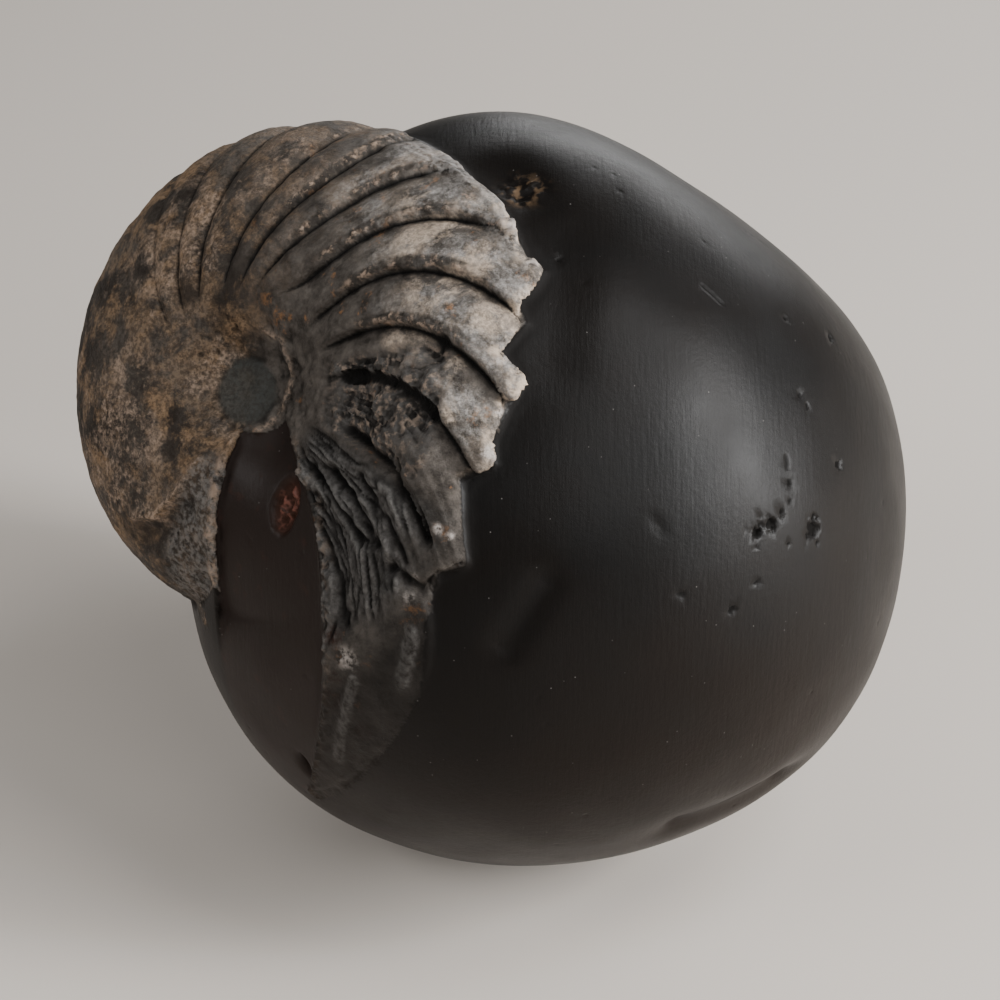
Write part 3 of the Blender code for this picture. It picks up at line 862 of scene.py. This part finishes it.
def ramp(tree, value, low, high, bottom=0.0, top=1.0):
    return addNode(tree, "ShaderNodeMapRange", {"Value": value, "From Min": low, "From Max": high,
                   "To Min": bottom, "To Max": top}).outputs[0]


def times(tree, *values):
    result = values[0]
    for value in values[1:]:
        result = math2(tree, "MULTIPLY", result, value)
    return result


stoneLookValues = {
    "black": (0.0058, 0.0054, 0.0052, 1),
    "warmBlack": (0.0090, 0.0050, 0.0028, 1),
    "wedgeBrown": (0.0210, 0.0140, 0.0115, 1),
    "ribGrey": (0.130, 0.113, 0.098, 1),
    "ribDark": (0.032, 0.027, 0.023, 1),
    "goldBrown": (0.290, 0.185, 0.105, 1),
    "darkBrown": (0.026, 0.020, 0.016, 1),
    "oliveGrey": (0.130, 0.112, 0.095, 1),
    "sand": (0.420, 0.310, 0.230, 1),
    "orange": (0.300, 0.150, 0.065, 1),
    "tan": (0.560, 0.450, 0.350, 1),
    "wornGrey": (0.360, 0.340, 0.320, 1),
    # painted shade: this colour darkens pits, cracks, clefts and hollows
    "creviceShade": (0.0045, 0.0040, 0.0036, 1),
    "pale": (0.50, 0.45, 0.41, 1),
    "rust": (0.170, 0.066, 0.048, 1),
    "redBrown": (0.040, 0.017, 0.011, 1),
    "plugGrey": (0.055, 0.058, 0.054, 1),
    "fanDark": (0.030, 0.027, 0.025, 1),
    "fanGrey": (0.150, 0.142, 0.134, 1),
    "noduleShine": (0.35, 0.45),
    "shellShine": (0.50, 0.66),
    "specular": 0.12,
}


def scratchField(tree, where):
    # fine polishing marks that run up and down the stone
    stretched = addNode(tree, "ShaderNodeVectorMath", {0: where, 1: (1.0, 0.10, 0.10)}, operation="MULTIPLY").outputs[0]
    return addNode(tree, "ShaderNodeTexNoise", {"Vector": stretched, "Scale": 1500.0, "Detail": 3.0,
                   "Roughness": 0.6}).outputs["Fac"]


def dustField(tree, where, scale, reach, share):
    # sparse specks: a dot in some of the cells
    node = addNode(tree, "ShaderNodeTexVoronoi", {"Vector": where, "Scale": scale})
    chosen = addNode(tree, "ShaderNodeSeparateColor", {"Color": node.outputs["Color"]}).outputs["Red"]
    dot = ramp(tree, node.outputs["Distance"], reach, 0.4 * reach)
    return times(tree, dot, ramp(tree, chosen, 1 - share, 1.001 - share))


def noduleColour(tree, where, look):
    height = addNode(tree, "ShaderNodeSeparateXYZ", {0: where}).outputs["Z"]
    low = ramp(tree, height, 0.085, 0.035)
    cloud = mottle(tree, where, 35, 0.35, 0.65, 4)
    warmth = math2(tree, "ADD", times(tree, low, 0.75), times(tree, cloud, 0.25), clamp=True)
    colour = mixColour(tree, warmth, look["black"], look["warmBlack"])
    colour = mixColour(tree, times(tree, mask(tree, "wedge"), 0.8), colour, look["wedgeBrown"])
    colour = mixColour(tree, times(tree, dustField(tree, where, 520, 0.070, 0.35), 0.35), colour, look["wornGrey"])
    reds = times(tree, mask(tree, "wedge"), mottle(tree, where, 260, 0.60, 0.72, 5), 0.5)
    colour = mixColour(tree, reds, colour, look["redBrown"])
    crumbly = times(tree, mask(tree, "crumbly"), mottle(tree, where, 500, 0.50, 0.62, 5), 0.35)
    colour = mixColour(tree, crumbly, colour, look["goldBrown"])
    # painted shade in the nodule's pits and cracks
    colour = mixColour(tree, mask(tree, "cavity"), colour, look["creviceShade"])
    colour = mixColour(tree, mask(tree, "rust"), colour, look["redBrown"])
    rusty = times(tree, ramp(tree, mask(tree, "rust"), 0.45, 0.85), mottle(tree, where, 800, 0.42, 0.56, 4),
                  ramp(tree, mask(tree, "hollow"), 0.5, -0.3))
    return mixColour(tree, rusty, colour, look["rust"])


def shellColour(tree, where, look):
    hollow = mask(tree, "hollow")
    fine = mottle(tree, where, 900, 0.42, 0.58, 4, 0.7)
    blotch = mottle(tree, where, 120, 0.46, 0.56, 10, 0.76, 0.3)
    cloud = mottle(tree, where, 62, 0.42, 0.58, 9, 0.74, 0.3)
    grit = mottle(tree, where, 1300, 0.44, 0.58, 4, 0.75)
    # ribs, dark grey to worn
    ribs = mixColour(tree, mottle(tree, where, 260, 0.38, 0.64, 9, 0.76), look["ribDark"], look["ribGrey"])
    spots = times(tree, mottle(tree, where, 190, 0.60, 0.65, 6, 0.65, 0.3), fine)
    ribs = mixColour(tree, times(tree, spots, 0.8), ribs, look["orange"])
    worn = times(tree, mask(tree, "outer"), ramp(tree, mask(tree, "plate"), 0.35, 0.85))
    scuffed = mottle(tree, where, 230, 0.44, 0.58, 10, 0.78)
    ribs = mixColour(tree, times(tree, worn, scuffed, ramp(tree, grit, 0, 1, 0.45, 1)), ribs, look["wornGrey"])
    tan = times(tree, math2(tree, "MAXIMUM", mask(tree, "tan"), times(tree, worn, 0.35)), blotch)
    ribs = mixColour(tree, times(tree, tan, ramp(tree, grit, 0, 1, 0.5, 1)), ribs, look["tan"])
    # painted shade on the low part of each shingle, just below its groove
    cleftShade = times(tree, ramp(tree, mask(tree, "plate"), 0.34, 0.06), mask(tree, "shingle"), mask(tree, "outer"))
    ribs = mixColour(tree, cleftShade, ribs, look["creviceShade"])
    # the brown, mottled free whorl
    brown = mixColour(tree, blotch, look["darkBrown"], look["goldBrown"])
    brown = mixColour(tree, times(tree, cloud, 0.6), brown, look["oliveGrey"])
    sand = times(tree, mottle(tree, where, 80, 0.53, 0.60, 9, 0.74), fine, 0.85)
    brown = mixColour(tree, sand, brown, look["sand"])
    # painted light: a lighter band along the rounded flank
    light = times(tree, mask(tree, "light"), mottle(tree, where, 240, 0.46, 0.60, 9, 0.76), 0.8)
    brown = mixColour(tree, light, brown, look["sand"])
    # painted shade: darker patches at the hub's hollow and the flank hollow
    dark = times(tree, mask(tree, "dark"), mottle(tree, where, 200, 0.62, 0.42, 9, 0.76), 0.9)
    brown = mixColour(tree, dark, brown, look["darkBrown"])
    # painted shade in the flank hollow and painted light on the flank ridge
    brown = mixColour(tree, times(tree, mask(tree, "flankHollow"), 0.7), brown, look["darkBrown"])
    brown = mixColour(tree, times(tree, mask(tree, "flankRidge"), fine, 0.9), brown, look["sand"])
    brown = mixColour(tree, times(tree, grit, 0.62), brown, look["darkBrown"])
    colour = mixColour(tree, mask(tree, "warm"), ribs, brown)
    plug = mixColour(tree, times(tree, grit, 0.6), look["plugGrey"], look["ribDark"])
    colour = mixColour(tree, times(tree, mask(tree, "hub"), 0.9), colour, plug)
    colour = mixColour(tree, times(tree, mask(tree, "hubRim"), fine, 0.7), colour, look["sand"])
    colour = mixColour(tree, times(tree, mask(tree, "grey"), 0.7), colour, look["ribDark"])
    colour = mixColour(tree, times(tree, mask(tree, "grey"), fine, 0.35), colour, look["wornGrey"])
    # broken places: painted shade in their hollows and painted light on their raised facets, with dark grit
    broken = mixColour(tree, ramp(tree, hollow, 0.35, -0.8), look["fanDark"], look["fanGrey"])
    broken = mixColour(tree, times(tree, grit, 0.5), broken, look["fanDark"])
    torn = math2(tree, "MAXIMUM", mask(tree, "fan"), times(tree, mask(tree, "crust"), 0.9))
    colour = mixColour(tree, torn, colour, broken)
    crumbly = math2(tree, "MAXIMUM", times(tree, mask(tree, "crust"), 0.8), mask(tree, "ledge"))
    colour = mixColour(tree, times(tree, mask(tree, "ledge"), 0.8), colour, look["ribDark"])
    crumbs = times(tree, crumbly, mottle(tree, where, 600, 0.50, 0.60, 5, 0.7), ramp(tree, hollow, 0.4, -0.4))
    colour = mixColour(tree, times(tree, crumbs, 0.85), colour, look["sand"])
    colour = mixColour(tree, times(tree, mask(tree, "red"), blotch), colour, look["redBrown"])
    lips = math2(tree, "MAXIMUM", mask(tree, "lip"), times(tree, mask(tree, "fanLip"), 0.45))
    colour = mixColour(tree, times(tree, lips, mottle(tree, where, 420, 0.46, 0.6, 6, 0.7), 0.7), colour, look["sand"])
    edge = times(tree, mask(tree, "rim"), mottle(tree, where, 300, 0.46, 0.58, 6, 0.7))
    colour = mixColour(tree, edge, colour, look["tan"])
    colour = mixColour(tree, times(tree, mask(tree, "keel"), 0.5, fine), colour, look["wornGrey"])
    # painted shade along the sunk cracks of the torn fan
    colour = mixColour(tree, times(tree, mask(tree, "streak"), 0.55), colour, look["creviceShade"])
    streaky = times(tree, mask(tree, "worn"), mottle(tree, where, 700, 0.38, 0.6, 5, 0.7))
    colour = mixColour(tree, streaky, colour, look["wornGrey"])
    pale = times(tree, mask(tree, "pale"), mottle(tree, where, 520, 0.44, 0.56, 6, 0.7))
    colour = mixColour(tree, pale, colour, look["pale"])
    # painted shade in the hollows and deep places
    colour = mixColour(tree, ramp(tree, hollow, 0.15, 0.95, 0.0, 0.85), colour, look["creviceShade"])
    return mixColour(tree, ramp(tree, mask(tree, "deep"), 0.25, 1.0, 0.0, 0.8), colour, look["creviceShade"])


def dressStone(material, look):
    material.use_nodes = True
    tree = material.node_tree
    shader = tree.nodes["Principled BSDF"]
    shader.inputs["Specular IOR Level"].default_value = look["specular"]
    where = addNode(tree, "ShaderNodeTexCoord").outputs["Object"]
    coil = mask(tree, "coil")
    colour = mixColour(tree, coil, noduleColour(tree, where, look), shellColour(tree, where, look))
    tree.links.new(colour, shader.inputs["Base Color"])
    polish = mottle(tree, where, 80, 0.3, 0.7, 5)
    bareShine = ramp(tree, polish, 0, 1, *look["noduleShine"])
    bareShine = math2(tree, "ADD", bareShine, times(tree, mask(tree, "cavity"), 0.3))
    bareShine = math2(tree, "ADD", bareShine, ramp(tree, mask(tree, "deep"), 0.05, 0.3, 0.0, 0.35))
    shellShine = ramp(tree, polish, 0, 1, *look["shellShine"])
    shine = addNode(tree, "ShaderNodeMix", {"Factor": coil, "A": bareShine, "B": shellShine}).outputs[0]
    tree.links.new(shine, shader.inputs["Roughness"])
    scratches = times(tree, scratchField(tree, where), math2(tree, "SUBTRACT", 1.0, coil))
    grain = addNode(tree, "ShaderNodeTexNoise", {"Vector": where, "Scale": 800.0, "Detail": 6.0,
                    "Roughness": 0.75}).outputs["Fac"]
    bumpy = times(tree, grain, ramp(tree, coil, 0, 1, 0.07, 1.0))
    first = addNode(tree, "ShaderNodeBump", {"Height": scratches, "Strength": 0.22, "Distance": 0.0002}).outputs[0]
    second = addNode(tree, "ShaderNodeBump", {"Height": bumpy, "Strength": 0.75, "Distance": 0.0011,
                     "Normal": first}).outputs[0]
    tree.links.new(second, shader.inputs["Normal"])


dressStone(stoneLook, stoneLookValues)
fossil.data.materials.clear()
fossil.data.materials.append(stoneLook)
print("stone dressed")

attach(fossil, "root")
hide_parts("ammonite_nodule")

studio = {
    "aim": (0.0014, -0.0034, 0.0703),
    "elevation": 32,
    "distance": 0.428,
    "lens": 85,
    "floorColour": (0.55, 0.50, 0.45, 1),
    "floorReach": 4.0,
    "worldColour": (1.0, 0.98, 0.95, 1),
    "worldStrength": 0.10,
    # name, turn to the right of the camera and height in degrees, distance, watts, width and height
    "lamps": [
        ("rightSoftbox", 74, 21, 0.90, 18.0, 0.17, 0.58),
        ("backSoftbox", 158, 18, 1.10, 5.5, 0.90, 0.28),
        ("topSoftbox", 62, 62, 1.00, 4.0, 0.36, 0.36),
        ("frontFill", 28, 32, 1.30, 4.0, 0.50, 0.40),
        ("leftFill", -62, 36, 1.10, 5.0, 0.50, 0.50),
    ],
}


def placeCamera():
    turn = math.radians(studio["elevation"])
    back = Vector((0, -math.cos(turn), math.sin(turn)))
    camera = bpy.data.objects.new("camera", bpy.data.cameras.new("camera"))
    camera.data.lens = studio["lens"]
    camera.data.sensor_width = 36
    camera.data.clip_start = 0.01
    camera.location = Vector(studio["aim"]) + back * studio["distance"]
    camera.rotation_euler = (-back).to_track_quat("-Z", "Y").to_euler()
    bpy.context.scene.collection.objects.link(camera)
    bpy.context.scene.camera = camera


def placeLamps():
    aim = Vector(studio["aim"])
    for name, turn, rise, distance, energy, width, tall in studio["lamps"]:
        turn, rise = math.radians(turn), math.radians(rise)
        toLamp = Vector((math.sin(turn) * math.cos(rise), -math.cos(turn) * math.cos(rise), math.sin(rise)))
        lamp = bpy.data.lights.new(name, "AREA")
        lamp.shape = "RECTANGLE"
        lamp.size, lamp.size_y, lamp.energy = width, tall, energy
        item = bpy.data.objects.new(name, lamp)
        item.location = aim + toLamp * distance
        item.rotation_euler = toLamp.to_track_quat("Z", "Y").to_euler()
        bpy.context.scene.collection.objects.link(item)
    world = bpy.data.worlds.new("studioAir")
    world.use_nodes = True
    world.node_tree.nodes["Background"].inputs["Color"].default_value = studio["worldColour"]
    world.node_tree.nodes["Background"].inputs["Strength"].default_value = studio["worldStrength"]
    bpy.context.scene.world = world


def layFloor():
    mesh = bmesh.new()
    bmesh.ops.create_grid(mesh, x_segments=1, y_segments=1, size=studio["floorReach"])
    floor = newObject("floor", mesh)
    look = bpy.data.materials.new("paleFloor")
    look.use_nodes = True
    look.node_tree.nodes["Principled BSDF"].inputs["Base Color"].default_value = studio["floorColour"]
    look.node_tree.nodes["Principled BSDF"].inputs["Roughness"].default_value = 0.9
    floor.data.materials.append(look)


placeCamera()
placeLamps()
layFloor()
print("studio set")
